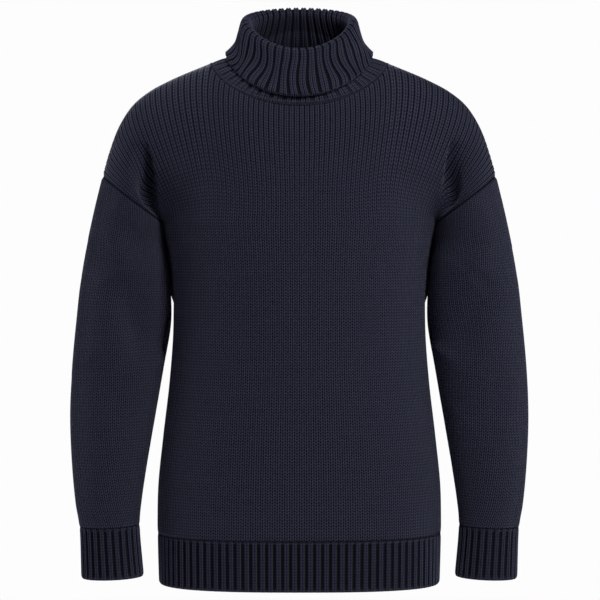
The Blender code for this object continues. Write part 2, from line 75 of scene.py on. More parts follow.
body = {
    "hemBottom": -0.697,
    "hemTop": -0.63,
    "armpit": -0.213,
    # z, half width, depth in front, depth behind, squareness
    "sections": [
        (-0.697, 0.189, 0.122, 0.11, 2.7),
        (-0.621, 0.1907, 0.124, 0.112, 2.6),
        (-0.572, 0.19, 0.125, 0.113, 2.5),
        (-0.5, 0.183, 0.126, 0.112, 2.4),
        (-0.427, 0.1746, 0.125, 0.111, 2.3),
        (-0.346, 0.1694, 0.125, 0.113, 2.3),
        (-0.27, 0.1722, 0.127, 0.117, 2.3),
        (-0.213, 0.184, 0.128, 0.119, 2.3),
    ],
    # share of the way out from the neck, x, z
    "shoulder": [
        (0.0, 0.119, 0.001),
        (0.07, 0.134, -0.005),
        (0.26, 0.173, -0.0216),
        (0.42, 0.203, -0.0378),
        (0.54, 0.223, -0.054),
        (0.71, 0.244, -0.086),
        (0.86, 0.256, -0.119),
        (1.0, 0.265, -0.151),
    ],
    "armholeTop": (0.265, -0.151),
    "armholeBottom": (0.184, -0.213),
    "armholeDepth": 0.076,
    "armStart": 0.5,
    "armMeeting": 3,
    "shoulderCurve": 0.5,
    "neckCurve": 0.4,
    "neckCurveFade": 1.5,
    "neckShare": 11 / 25,  # share of the half width that ends in the neckline
    "cornerReach": 14,  # the higher, the fewer rows have the neckline's corners
    "sectionSteps": 361,
    "softening": 9,  # in mesh columns
    "wales": 88,
    "waleCrowding": 0.08,  # how much closer the wales run at the sides
    "rowsBelow": 80,
    "rowsAbove": 44,
    # face, half of the body, x and z of both ends, width, depth, share of the width on the side
    # next to the middle
    "folds": [
        (frontFace, leftSide, 0.2045, -0.104, 0.1885, -0.206, 0.01, 0.024, 0.25),
        (frontFace, rightSide, 0.204, -0.108, 0.188, -0.208, 0.01, 0.026, 0.23),
        (backFace, leftSide, 0.206, -0.102, 0.191, -0.2, 0.014, 0.018, 0.4),
        (backFace, rightSide, 0.205, -0.106, 0.191, -0.199, 0.014, 0.017, 0.4),
        (frontFace, rightSide, 0.16, -0.15, 0.154, -0.238, 0.016, 0.0045, 1),
        (frontFace, leftSide, 0.15, -0.14, 0.156, -0.245, 0.017, 0.0045, 1),
        (backFace, leftSide, 0.12, -0.33, 0.06, -0.42, 0.024, 0.006, 1),
        (backFace, rightSide, 0.13, -0.3, 0.052, -0.395, 0.022, 0.006, 1),
        (backFace, leftSide, 0.135, -0.47, 0.04, -0.52, 0.022, 0.005, 1),
        (backFace, rightSide, 0.14, -0.44, 0.048, -0.505, 0.024, 0.005, 1),
    ],
    # bunch of the back's cloth under each arm: distance from the side seam, width, height, z
    # where it starts and ends
    "bunch": (0.025, 0.013, 0.0095, -0.196, -0.328),
    "bunchStart": 0.03,
    "bunchEnd": (-0.008, 0.026),
    "panelHalf": 0.22,  # metres from the middle to a side seam
    "seamReach": 0.004,  # where the wall turns into the plane of a seam
    "openHeights": (-0.3, -0.075),  # where the furrows start to open and are open
    "openCurve": 1.3,
    "armOpenWidth": 0.05,
    "armOpenHeights": (-0.26, -0.18),
    "ridge": (0.0006, 0.0007),  # height of a wale, and what an open furrow adds
    "groove": (0.002, 0.0018),  # depth and width at a seam
    "seamShade": 0.0015,  # the armhole seam's painted shade, a dark line: width, and z where it starts
    "seamShadeHeights": (-0.24, -0.215),
}

sleeve = {
    "length": 0.52,  # metres from armhole to wrist
    "cuffStart": 0.875,
    # share of the way down, outer x and z, inner x and z, half depth, middle y
    "sections": [
        (0.0, 0.265, -0.151, 0.184, -0.213, 0.076, 0.0),
        (0.08, 0.277, -0.2, 0.1825, -0.238, 0.0735, 0.0),
        (0.2, 0.2925, -0.278, 0.1755, -0.285, 0.071, -0.001),
        (0.32, 0.3003, -0.346, 0.1728, -0.346, 0.0685, -0.003),
        (0.44, 0.306, -0.412, 0.1826, -0.408, 0.0655, -0.006),
        (0.56, 0.308, -0.475, 0.1935, -0.472, 0.0605, -0.011),
        (0.68, 0.3048, -0.54, 0.2045, -0.538, 0.0545, -0.018),
        (0.78, 0.2997, -0.589, 0.2115, -0.587, 0.0485, -0.024),
        (0.875, 0.2943, -0.6205, 0.2137, -0.6175, 0.0435, -0.028),
        (1.0, 0.2915, -0.689, 0.2078, -0.686, 0.042, -0.033),
    ],
    "rows": 100,
    "closeRows": (0, 0.0035, 0.008),  # shares of the way down next to each seam
    "nextRow": 0.014,
    "samples": 361,
    "opened": (0.1, 0.25),  # how open the furrows are, and what the armhole adds
    "armOpenReach": 0.06,
    "ridge": (0.0006, 0.0006),
    "groove": (0.002, 0.0022),
    "underSink": 0.001,  # the line under the arm where the wales end
    "underWidth": 0.003,
    # width of the painted shade, a dark line along the armhole seam
    "seamShade": 0.0019,
    "folds": [
        (frontFace, rightSide, 0.242, -0.197, 0.203, -0.262, 0.014, 0.006, 1),
        (frontFace, leftSide, 0.246, -0.204, 0.206, -0.27, 0.014, 0.006, 1),
        (frontFace, rightSide, 0.24, -0.285, 0.192, -0.4, 0.018, 0.0165, 1.5),
        (frontFace, leftSide, 0.254, -0.285, 0.194, -0.388, 0.019, 0.014, 1.4),
        (frontFace, rightSide, 0.288, -0.24, 0.238, -0.318, 0.015, 0.0045, 1),
        (frontFace, leftSide, 0.29, -0.25, 0.236, -0.3, 0.014, 0.004, 1),
        (frontFace, rightSide, 0.286, -0.4, 0.226, -0.47, 0.018, 0.005, 1.2),
        (frontFace, leftSide, 0.284, -0.42, 0.222, -0.478, 0.017, 0.0045, 1.2),
        (backFace, rightSide, 0.25, -0.22, 0.205, -0.3, 0.016, 0.006, 1),
        (backFace, leftSide, 0.246, -0.23, 0.203, -0.306, 0.016, 0.006, 1),
        (backFace, rightSide, 0.28, -0.35, 0.215, -0.405, 0.014, 0.006, 1),
        (backFace, leftSide, 0.284, -0.342, 0.212, -0.4, 0.014, 0.006, 1),
    ],
}

ribs = {
    "hem": 50,  # in each half
    "cuff": 25,
    "collar": 44,
    "hemRows": 20,
    "cuffRows": 22,
    "cuffLength": 0.0685,
    "hemCrowding": 0.11,  # how much closer the rows are at both ends of the hem rib
    "selvedge": (-0.1, 0.4),  # a hem rib's side edges: height, wales past the ribs
    "start": 0.07,  # where a rib starts in its repeat, and how wide it is
    "width": 0.62,
    "collarWidth": 0.75,
    "extraDepth": 1.25,
    "edge": 0.0038,  # reach of the knitted-off edge
    # Furrows fill up at the edge, at the seam and in a row below it: distance from the edge or
    # seam, width, height in a furrow, what a crest adds.
    "filled": [(0, 0.0038, 0.72, 0.15), (0, 0.003, 0.25, 0.45), (0.0026, 0.0014, 0.62, 0.2)],
    "rounding": 0.0012,
    "thinning": 0.001,  # how much thinner the cloth is in a furrow
    "shade": 0.84,  # painted shade in a furrow: how dark, and the heights between which it darkens
    "shadeHeights": (1.1, 0.7),
    # painted shade along the seam: how dark, and the width of the line
    "seamShade": (0.7, 0.001),
    # share of the rib's width, height: two wales and the shallow line between them
    "profile": [
        (0.00, 0.00),
        (0.08, 0.55),
        (0.18, 0.93),
        (0.28, 1.00),
        (0.4, 0.84),
        (0.5, 0.58),
        (0.6, 0.84),
        (0.72, 1.00),
        (0.82, 0.93),
        (0.92, 0.55),
        (1.00, 0.00),
        (1.26, -0.12),
    ],
}

collar = {
    "seam": (0.119, 0.09, 0.072, -0.058, 0.001, 0.012, 2.5),
    # step, half width, depth in front and behind, z in front, at the side and behind, and how
    # late it rises from the side to the back
    "sections": [
        (0, 0.118, 0.0885, 0.0705, -0.0585, -0.0005, 0.0115, 2.5),
        (1, 0.105, 0.081, 0.065, -0.043, 0.004, 0.023, 3.0),
        (2, 0.091, 0.073, 0.059, -0.024, 0.0095, 0.038, 3.0),
        (3, 0.077, 0.066, 0.0555, -0.006, 0.027, 0.054, 2.5),
        (4, 0.069, 0.06, 0.0545, 0.006, 0.045, 0.067, 1.5),
        (5, 0.068, 0.058, 0.0555, 0.012, 0.054, 0.0725, 1.0),
        (6, 0.0725, 0.062, 0.06, 0.0145, 0.0595, 0.0775, 1.0),
        (7, 0.0762, 0.068, 0.066, 0.01, 0.055, 0.073, 1.0),
        (8, 0.0795, 0.0725, 0.0695, -0.003, 0.043, 0.059, 1.2),
        (9, 0.0842, 0.0775, 0.0735, -0.019, 0.029, 0.043, 1.6),
        (10, 0.0915, 0.0845, 0.0795, -0.0345, 0.0195, 0.028, 2.0),
        (11, 0.0985, 0.091, 0.0865, -0.047, 0.013, 0.0145, 2.0),
    ],
    "rows": 86,
    "rise": (0.36, 0.96, 4),  # how far its seam faces up in the middle and at the side
    "drop": 1.25,
    "wander": 0.44,  # how far a rib strays
    "wanderSteps": (5.0, 9.0),
    "wanderMiddle": 0.25,  # share of that in the middle of the front and back
    "waves": [(1.0, 3, 1.2), (0.6, 7, -1.5)],  # share, waves all round, drift a step
    "slant": 0.9,  # how far the strip's ribs lean outwards
    "slantSteps": (3.0, 0.0),
    "seamReach": 0.004,
    "edge": 0.0016,
    "edgeHeight": (0.35, 0.6),
    "innerSteps": (0.5, 2.5),  # where the inner face's ribs start
    "innerHeight": 0.2,
    "stripSteps": (3.0, 2.0),  # where the ribs of the strip at the neckline end
    "stripHeight": 0.42,
    "stripSeamHeight": 0.45,
    # painted shade: in the strip's furrows, in the other furrows, and deep inside the collar
    "stripShade": 0.5,
    "stripShadeSteps": (2.6, 2.8),
    "clearance": 0.0004,  # of the stand under the turned-down part
    "shade": 0.84,
    "shadeHeight": 0.5,
    "insideShade": 0.55,
    "insideSteps": (5.0, 3.4),
}


# Values at one key, on smooth curves through a table's rows.
def follow(table, key):
    rows = np.array(table, float)
    keys = rows[:, 0]
    slopes = np.gradient(rows, keys, axis=0)
    i = int(np.clip(np.searchsorted(keys, key) - 1, 0, len(keys) - 2))
    span = keys[i + 1] - keys[i]
    t = (key - keys[i]) / span
    start = rows[i] * (1 + 2 * t) * (1 - t) ** 2 + slopes[i] * span * t * (1 - t) ** 2
    end = rows[i + 1] * t**2 * (3 - 2 * t) + slopes[i + 1] * span * t**2 * (t - 1)
    return (start + end)[1:]


def unit(vectors):
    return vectors / np.maximum(np.linalg.norm(vectors, axis=-1, keepdims=True), 1e-12)


# All of the depth at no distance, and hardly any past twice the width.
def dent(distance, depth, width):
    return depth * np.exp(-((distance / width) ** 2))


# The first of a pair of values, and this share of the second one added to it.
def levelOf(pair, share):
    return pair[0] + pair[1] * share


# Distance of each point from the first one, along their row.
def runAlong(points):
    return np.r_[0, np.cumsum(np.linalg.norm(np.diff(points, axis=0), axis=-1))]


# Points looked up in a row of points with keys.
def lookUp(wanted, keys, points):
    return np.stack([np.interp(wanted, keys, points[:, i]) for i in range(3)], axis=-1)


# UV of a grid in stitches: wales across it, and courses along it from its length in metres.
def stitchUv(wales, run):
    courses = run / cloth["courseHeight"]
    return np.stack(np.broadcast_arrays(wales[None, :], courses[:, None]), axis=-1)


# Downward direction across the plane in which a ring of points lies.
def ringPlane(ring):
    third = len(ring) // 3
    plane = unit(np.cross(ring[third] - ring[0], ring[2 * third] - ring[0]))
    return plane * -math.copysign(1, plane[2])


def intoPlane(normals, plane):
    return unit(normals - (normals @ plane)[:, None] * plane)


def smooth(low, high, value):
    t = np.clip((value - low) / (high - low), 0, 1)
    return t * t * (3 - 2 * t)


# Half of a body section, at shares -1 to 1 of its length from side to side.
def bodySection(face, z, shares):
    width, front, back, squareness = follow(body["sections"], z)
    depth = front if face == frontFace else back
    angle = np.linspace(-math.pi / 2, math.pi / 2, body["sectionSteps"])
    x = width * np.sign(angle) * np.abs(np.sin(angle)) ** (2 / squareness)
    y = depth * np.abs(np.cos(angle)) ** (2 / squareness)
    run = np.r_[0, np.cumsum(np.hypot(np.diff(x), np.diff(y)))]
    run = 2 * run / run[-1] - 1
    return np.interp(shares, run, x), np.interp(shares, run, y)


# A closed section of the neck. Angle 0 is the middle of the front and +90 degrees is +X.
def neckSection(values, angle):
    width, front, back, frontZ, sideZ, backZ, lateness = values
    ahead = np.cos(angle) > 0
    swing = np.abs(np.cos(angle))
    y = np.where(ahead, -front * swing, back * swing)
    frontRise = (frontZ - sideZ) * swing ** collar["drop"]
    backRise = (backZ - sideZ) * swing**lateness
    z = sideZ + np.where(ahead, frontRise, backRise)
    return np.stack([width * np.sin(angle), y, z], axis=-1)


# Outward direction across the neckline seam, between the body's and the collar's own.
def neckNormal(angle):
    middle, side, curve = collar["rise"]
    up = middle + (side - middle) * np.sin(angle) ** curve
    level = np.sqrt(1 - up**2)
    return np.stack([level * np.sin(angle), -level * np.cos(angle), up], axis=-1)


def neckAngle(face, shares):
    angle = np.arcsin(np.clip(shares / body["neckShare"], -1.0, 1.0))
    return angle if face == frontFace else math.pi - angle


# Upper edge of a body panel: the neckline, and the shoulder on both sides of it.
def bodyTop(face, share):
    neckShare = body["neckShare"]
    if abs(share) <= neckShare:
        return neckSection(collar["seam"], neckAngle(face, np.array(share)))
    x, z = follow(body["shoulder"], (abs(share) - neckShare) / (1 - neckShare))
    return np.array([math.copysign(x, share), 0.0, z])


# Body panel above the armpits. Rise 0 is the armpit level and 1 the upper edge.
def yoke(face, rise, shares, top):
    armpit = body["armpit"]
    topX, topZ = body["armholeTop"]
    lowX, lowDepth = bodySection(face, armpit, shares)
    lag = (1 - math.cos(math.pi * rise)) / 2 - rise
    x = (1 - rise) * lowX + rise * top[:, 0] + shares * (topX - body["armholeBottom"][0]) * lag
    z = (1 - rise) * armpit + rise * top[:, 2] + np.abs(shares) * (topZ - armpit) * lag
    flatter = np.clip(1 - (shares / body["neckShare"]) ** 2, 0, 1) ** body["neckCurveFade"]
    curve = body["shoulderCurve"] + body["neckCurve"] * flatter
    topDepth = np.abs(top[:, 1])
    chest = topDepth + (lowDepth - topDepth) * (1 - rise**2) ** curve
    reach = np.clip((np.abs(shares) - body["armStart"]) / (1 - body["armStart"]), 0, 1)
    arm = body["armholeDepth"] * math.sin(math.pi * rise) * reach**2 * (3 - 2 * reach)
    meeting = body["armMeeting"]
    depth = (np.abs(chest) ** meeting + np.abs(arm) ** meeting) ** (1 / meeting)
    return np.stack([x, face * depth, z], axis=-1)


# Whole body panel. Level -1 is the hem seam, 0 the armpits and 1 the upper edge.
def bodySurface(face, levels, shares):
    top = np.array([bodyTop(face, share) for share in shares])
    # Only the rows next to the neckline have its sharp corners. Lower ones have a softer course.
    spread = body["softening"]
    reach = 3 * spread
    kernel = np.exp(-0.5 * (np.arange(-reach, reach + 1) / spread) ** 2)
    wide = np.pad(top, ((reach, reach), (0, 0)), "reflect", reflect_type="odd")
    soft = [np.convolve(wide[:, i], kernel / kernel.sum(), "valid") for i in range(3)]
    soft = np.stack(soft, axis=-1)
    rows = []
    for level in levels:
        if level < 0:
            z = body["armpit"] + level * (body["armpit"] - body["hemTop"])
            x, depth = bodySection(face, z, shares)
            rows.append(np.stack([x, face * depth, np.full_like(x, z)], axis=-1))
        else:
            part = level ** body["cornerReach"]
            rows.append(yoke(face, level, shares, part * top + (1 - part) * soft))
    return np.array(rows)


# Sleeve and cuff. Turn 0 is the outer side and 90 degrees the front.
def sleeveSurface(side, downs, turns):
    rows = []
    for down in downs:
        outerX, outerZ, innerX, innerZ, depth, middle = follow(sleeve["sections"], down)
        x = (outerX + innerX) / 2 + np.cos(turns) * (outerX - innerX) / 2
        z = (outerZ + innerZ) / 2 + np.cos(turns) * (outerZ - innerZ) / 2
        rows.append(np.stack([side * x, middle - depth * np.sin(turns), z], axis=-1))
    return np.array(rows)


# Outward directions of a grid of points. A ring's last column is its first one again.
def gridNormals(points, ring, outward):
    if ring:
        points = np.concatenate([points[:, -2:-1], points, points[:, 1:2]], axis=1)
    across = np.gradient(points, axis=1)
    along = np.gradient(points, axis=0)
    normals = unit(np.cross(across, along) * outward)
    return normals[:, 1:-1] if ring else normals


# Points pushed in along their normals where a fold runs, by less towards a seam.
def pressFolds(points, normals, folds, side, fade):
    depth = np.zeros(points.shape[:2])
    for foldFace, foldSide, x0, z0, x1, z1, width, deepest, middleShare in folds:
        if side not in (None, foldSide):
            continue
        start = np.array([foldSide * x0, z0])
        way = np.array([foldSide * x1, z1]) - start
        offset = points[:, :, (0, 2)] - start
        share = np.clip(offset @ way / (way @ way), 0, 1)
        across = np.linalg.norm(offset - share[..., None] * way, axis=-1)
        towards = (way[0] * offset[..., 1] - way[1] * offset[..., 0]) * foldSide < 0
        reach = np.where(towards, width * middleShare, width)
        lengthwise = np.sin(math.pi * share ** cloth["foldLean"]) ** cloth["foldBluntness"]
        shape = np.exp(-0.5 * (across / reach) ** 2) * lengthwise
        facing = points[:, :, 1] * foldFace > 0
        depth += np.where(facing, deepest * shape, 0.0)
    return points - normals * (depth * fade)[..., None]


# Share of a fold's depth at this distance from a seam, nothing at the seam itself.
def seamFade(distance):
    return np.clip(distance / cloth["foldFade"], 0, 1) ** cloth["foldFadeCurve"]


# Height of the wales above the panel's own surface, at each mesh column.
def waleHeights(columns):
    shape = np.array(cloth["waleShape"])
    return shape[np.arange(columns + 1) % cloth["waleColumns"]] - cloth["waleLevel"]


# Mesh columns of ribs: place, height and wale count. A ring ends with its first column again.
def ribColumns(count, width, ring):
    places, heights, wales = [], [], []
    for rib in range(count):
        for q, height in ribs["profile"]:
            places.append(rib + ribs["start"] + width * q)
            heights.append(height)
            wales.append(4 * rib + (2 * q if q <= 1 else 2 + 2 * (q - 1) / (1 / width - 1)))
    if ring:
        places.append(count + places[0])
        heights.append(heights[0])
        wales.append(4 * count + wales[0])
    return np.array(places), np.array(heights), np.array(wales)


# Meshes

# The contents of a bmesh as a new mesh.
def bakeMesh(name, mesh):
    data = bpy.data.meshes.new(name)
    mesh.to_mesh(data)
    mesh.free()
    return data


def addObject(name, data):
    made = bpy.data.objects.new(name, data)
    bpy.context.scene.collection.objects.link(made)
    return made


def addPiece(name, data, material):
    data.shade_smooth()
    data.materials.append(material)
    return addObject(name, data)


# A sheet with two faces and a rim. A flat grid is extruded, then each vertex takes the place,
# the UV and the marks that its row and column have.
def makeSheet(name, outer, inner, uv, opened, paintedShade, ring, material):
    rows, columns = outer.shape[0] - 1, outer.shape[1] - 1
    mesh = bmesh.new()
    mesh.loops.layers.uv.new("stitches")
    lining = mesh.verts.layers.int.new("lining")
    bmesh.ops.create_grid(mesh, x_segments=columns, y_segments=rows, size=0.5)
    made = bmesh.ops.extrude_face_region(mesh, geom=mesh.faces[:], use_keep_orig=True)
    for part in made["geom"]:
        if isinstance(part, bmesh.types.BMVert):
            part[lining] = 1
    if ring:
        low = min(vertex.co.x for vertex in mesh.verts)
        high = max(vertex.co.x for vertex in mesh.verts)
        ends = [f for f in mesh.faces if all(v.co.x < low + tiny for v in f.verts)
                or all(v.co.x > high - tiny for v in f.verts)]
        bmesh.ops.delete(mesh, geom=ends, context="FACES_ONLY")
    data = bakeMesh(name, mesh)

    flat = np.empty(len(data.vertices) * 3)
    data.vertices.foreach_get("co", flat)
    flat = flat.reshape(-1, 3)[:, :2]
    flat = (flat - flat.min(axis=0)) / np.ptp(flat, axis=0)
    column, row = np.rint(flat * (columns, rows)).astype(int).T
    inside = np.empty(len(data.vertices), np.int32)
    data.attributes["lining"].data.foreach_get("value", inside)
    place = np.where(inside[:, None] == 1, inner[row, column], outer[row, column])
    data.vertices.foreach_set("co", place.ravel())
    corners = np.empty(len(data.loops), np.int32)
    data.loops.foreach_get("vertex_index", corners)
    data.uv_layers["stitches"].data.foreach_set("uv", uv[row[corners], column[corners]].ravel())
    # Marks: how open the furrows are, and how much painted shade darkens the colour.
    for mark, values in (("opened", opened), ("paintedShade", paintedShade)):
        values = np.broadcast_to(values, outer.shape[:2])[row, column]
        layer = data.attributes.new(mark, "FLOAT", "POINT")
        layer.data.foreach_set("value", values.astype(np.float32))

    mesh = bmesh.new()
    mesh.from_mesh(data)
    if ring:
        bmesh.ops.remove_doubles(mesh, verts=mesh.verts, dist=tiny)
    bmesh.ops.recalc_face_normals(mesh, faces=mesh.faces)
    if mesh.calc_volume(signed=True) < 0:
        bmesh.ops.reverse_faces(mesh, faces=mesh.faces)
    mesh.to_mesh(data)
    mesh.free()
    return addPiece(name, data, material)


# Directions out of the armhole in its seam's plane.
def armholeNormals(rises, side, face):
    angle = math.pi * rises
    way = np.subtract(body["armholeTop"], body["armholeBottom"])
    half = np.linalg.norm(way) / 2
    way = way / (2 * half)
    along = -np.cos(angle) / half
    deep = face * np.sin(angle) / body["armholeDepth"]
    return unit(np.stack([side * along * way[0], deep, along * way[1]], axis=-1))


def makeBody(name, face, material):
    wall, gap = cloth["wall"], cloth["seamGap"] / 2
    columns = body["wales"] * cloth["waleColumns"]
    even = np.linspace(-1, 1, columns + 1)
    shares = even * (1 + body["waleCrowding"]) - body["waleCrowding"] * even**3
    below = np.linspace(-1, 0, body["rowsBelow"], endpoint=False)
    rises = np.linspace(0, 1, body["rowsAbove"] + 1)
    levels = np.r_[below, rises]
    armpitRow = body["rowsBelow"]
    base = bodySurface(face, levels, shares)
    away = (1 - np.abs(shares)) * body["panelHalf"]  # from the side seam or the armhole
    if face == backFace:
        place, width, height, start, end = body["bunch"]
        shape = dent(away - place, 1, width)[None, :]
        level = base[:, :, 2]
        shape = shape * smooth(start, start - body["bunchStart"], level)
        shape = shape * smooth(end + body["bunchEnd"][0], end + body["bunchEnd"][1], level)
        base = base + gridNormals(base, False, -face) * (shape * height)[..., None]
    base = pressFolds(
        base, gridNormals(base, False, -face), body["folds"], None, seamFade(1 - np.abs(shares))
    )
    normals = gridNormals(base, False, -face)

    # At each seam the wall's edge lies in the seam's own plane.
    edge = dent(away, 1, body["seamReach"])
    edge[0] = edge[-1] = 1
    normals[: armpitRow + 1, :, 1] *= 1 - edge
    for columnsHere, side in ((shares < 0, rightSide), (shares > 0, leftSide)):
        target = armholeNormals(rises, side, face)[:, None, :]
        part = edge[columnsHere][None, :, None]
        block = normals[armpitRow:, columnsHere]
        normals[armpitRow:, columnsHere] = block * (1 - part) + target * part
    normals[0, :, 2] = 0
    onShoulder = np.abs(shares) > body["neckShare"]
    normals[-1, onShoulder, 1] = 0
    angle = neckAngle(face, shares[~onShoulder])
    normals[-1, ~onShoulder] = neckNormal(angle)
    normals = unit(normals)

    base[0, :, 2] += gap
    base[: armpitRow + 1, (0, -1), 1] = face * gap
    base[-1, onShoulder, 1] = face * gap
    way = unit(np.subtract(body["armholeTop"], body["armholeBottom"]))
    for column, side in ((0, rightSide), (-1, leftSide)):
        base[armpitRow:, column] += gap * np.array([-side * way[1], 0, way[0]])

    # Furrows between the wales are open on the shoulders and by the armholes.
    z = base[:, :, 2]
    opened = smooth(*body["openHeights"], z) ** body["openCurve"]
    nearArm = dent(away, 1, body["armOpenWidth"])[None, :] * smooth(*body["armOpenHeights"], z)
    opened = np.clip(opened + nearArm, 0, 1)
    strength = levelOf(body["ridge"], opened)
    uneven = random.uniform(*cloth["unevenness"], body["wales"] + 1)
    uneven = np.repeat(uneven, cloth["waleColumns"])
    ridge = waleHeights(columns)[None, :] * strength * uneven[: columns + 1]
    settle = np.ones_like(z)
    settle[0] = settle[-1] = 0
    settle[:, 0] = settle[:, -1] = 0
    sunk = dent(away, *body["groove"])[None, :] + dent(z - body["hemTop"], *cloth["ribSink"])
    raised = (ridge - sunk) * settle - sunk * (1 - settle) * cloth["rimSink"]
    outer = base + normals * raised[..., None]
    inner = base - normals * wall

    uv = stitchUv((even + 1) / 2 * body["wales"], runAlong(base[:, columns // 2]))
    # Painted shade: a dark line along the armhole seam.
    paintedShade = dent(away, 1, body["seamShade"])[None, :] * smooth(*body["seamShadeHeights"], z)
    return makeSheet(name, outer, inner, uv, opened, paintedShade, False, material)


def makeSleeve(name, side, material):
    wall, gap = cloth["wall"], cloth["seamGap"] / 2
    turns = np.linspace(-math.pi, math.pi, 2 * sleeve["samples"] - 1)
    # The rows are closer together next to both seams.
    close = np.array(sleeve["closeRows"])
    rest = sleeve["rows"] + 1 - 2 * len(close)
    between = np.linspace(sleeve["nextRow"], sleeve["cuffStart"] - sleeve["nextRow"], rest)
    downs = np.r_[close, between, sleeve["cuffStart"] - close[::-1]]
    base = sleeveSurface(side, downs, turns)
    base = pressFolds(
        base, gridNormals(base, True, side), sleeve["folds"], side, seamFade(downs)[:, None]
    )
    normals = gridNormals(base, True, side)
    for end, way in ((0, 1), (-1, -1)):
        plane = ringPlane(base[end])
        normals[end] = intoPlane(normals[end], plane)
        base[end] += plane * way * gap

    # Wales run parallel to the outer side. Those that no longer fit end at the underarm.
    step = cloth["waleWidth"] / cloth["waleColumns"]
    middle = sleeve["samples"] - 1
    half = np.array([runAlong(row[middle:]) for row in base])
    walesPerSide = int(math.ceil(half[:, -1].max() / step / cloth["waleColumns"]))
    perSide = walesPerSide * cloth["waleColumns"]
    offsets = np.arange(-perSide, perSide + 1) * step
    count = len(offsets)
    outer = np.empty((len(downs), count, 3))
    inner = np.empty((len(downs), count, 3))
    uneven = random.uniform(*cloth["unevenness"], count)[:: cloth["waleColumns"]]
    uneven = np.repeat(uneven, cloth["waleColumns"])[:count]
    heights = waleHeights(count - 1)
    opened = levelOf(sleeve["opened"], smooth(sleeve["armOpenReach"], 0.0, downs))
    fromSeam = downs * sleeve["length"]
    fromCuff = (sleeve["cuffStart"] - downs) * sleeve["length"]
    groove = dent(fromSeam, *sleeve["groove"])
    ribSink = dent(fromCuff, *cloth["ribSink"])
    for row in range(len(downs)):
        girth = half[row, -1]
        reach = np.clip(np.abs(offsets), 0, girth)
        turn = np.sign(offsets) * np.interp(reach, half[row], turns[middle:])
        place = lookUp(turn, turns, base[row])
        normal = unit(lookUp(turn, turns, normals[row]))
        under = dent(girth - reach, 1, sleeve["underWidth"])
        ridge = heights * levelOf(sleeve["ridge"], opened[row]) * uneven * (1 - under)
        sunk = groove[row] + sleeve["underSink"] * under + ribSink[row]
        atRim = row in (0, len(downs) - 1)
        raised = -sunk * cloth["rimSink"] if atRim else ridge - sunk
        outer[row] = place + normal * raised[:, None]
        inner[row] = place - normal * wall
        for grid in (outer, inner):
            grid[row, reach >= girth] = grid[row, 0]

    uv = stitchUv(offsets / cloth["waleWidth"], -runAlong(outer[:, perSide]))
    # Painted shade: a dark line along the armhole seam.
    paintedShade = dent(fromSeam, 1, sleeve["seamShade"])
    return makeSheet(name, outer, inner, uv, opened[:, None], paintedShade[:, None], True, material)


# Rows along a rib's crests made into its outer and inner faces. Each row has its distance to the
# knitted-off edge and to the seam.
def ribFaces(crests, normals, heights, toEdge, toSeam):
    full = cloth["ribHeight"] * ribs["extraDepth"]
    crest = heights[None, :]
    edge = dent(toEdge, 1, ribs["edge"])[:, None]
    height = crest
    for distance, (place, width, *levels) in zip((toEdge, toSeam, toSeam), ribs["filled"]):
        part = dent(distance - place, 1, width)[:, None]
        height = height * (1 - part) + levelOf(levels, crest) * part
    rounded = dent(toEdge, ribs["rounding"], ribs["rounding"])[:, None]
    outer = crests + normals * ((height - 1) * full - rounded)[..., None]
    thick = cloth["ribHeight"] + cloth["wall"] - ribs["thinning"] * (1 - crest) * (1 - edge)
    thick = np.broadcast_to(thick, height.shape)
    inner = crests - normals * thick[..., None]
    # Painted shade: the furrows, and a line along the seam, are darkened.
    high, span = ribs["shadeHeights"]
    line = dent(toSeam, *ribs["seamShade"])[:, None]
    paintedShade = np.maximum(ribs["shade"] * np.clip(high - height / span, 0, 1), line)
    return outer, inner, paintedShade


def makeHem(name, face, material):
    places, heights, wales = ribColumns(ribs["hem"], ribs["width"], False)
    places = np.r_[0, places, ribs["hem"]]
    low, beside = ribs["selvedge"]
    heights = np.r_[low, heights, low]
    wales = np.r_[-beside, wales, 4 * ribs["hem"] - beside]
    shares = np.clip(-1 + 2 * places / ribs["hem"], -1, 1)
    order = np.argsort(shares, kind="stable")
    shares, heights, wales = shares[order], heights[order], wales[order]
    levels = np.linspace(0, 1, ribs["hemRows"] + 1)
    levels = levels + ribs["hemCrowding"] * np.sin(2 * math.pi * levels) / -2
    top = body["hemTop"] - cloth["seamGap"] / 2
    heightsZ = body["hemBottom"] + (top - body["hemBottom"]) * levels
    crests = []
    for z in heightsZ:
        x, depth = bodySection(face, z, shares)
        crests.append(np.stack([x, face * depth, np.full_like(x, z)], axis=-1))
    crests = np.array(crests)
    normals = gridNormals(crests, False, -face)
    normals[:, :, 2] = 0
    normals[:, (0, -1), 1] = 0
    normals = unit(normals)
    crests[:, (0, -1), 1] = face * cloth["seamGap"] / 2
    toEdge = heightsZ - body["hemBottom"]
    outer, inner, paintedShade = ribFaces(crests, normals, heights, toEdge, top - heightsZ)
    uv = stitchUv(wales, runAlong(crests[:, len(wales) // 2]))
    return makeSheet(name, outer, inner, uv, 1.0, paintedShade, False, material)


def makeCuff(name, side, material):
    places, heights, wales = ribColumns(ribs["cuff"], ribs["width"], True)
    turns = 2 * math.pi * places / ribs["cuff"]
    levels = np.linspace(0, 1, ribs["cuffRows"] + 1)
    downs = sleeve["cuffStart"] + (1 - sleeve["cuffStart"]) * levels
    crests = sleeveSurface(side, downs, turns)
    normals = gridNormals(crests, True, side)
    for row in range(len(downs)):
        normals[row] = intoPlane(normals[row], ringPlane(crests[row]))
    crests[0] += ringPlane(crests[0]) * cloth["seamGap"] / 2
    length = ribs["cuffLength"]
    toEdge = (1 - levels) * length
    outer, inner, paintedShade = ribFaces(crests, normals, heights, toEdge, levels * length)
    uv = stitchUv(wales, -runAlong(crests[:, len(wales) // 2]))
    return makeSheet(name, outer, inner, uv, 1.0, paintedShade, True, material)


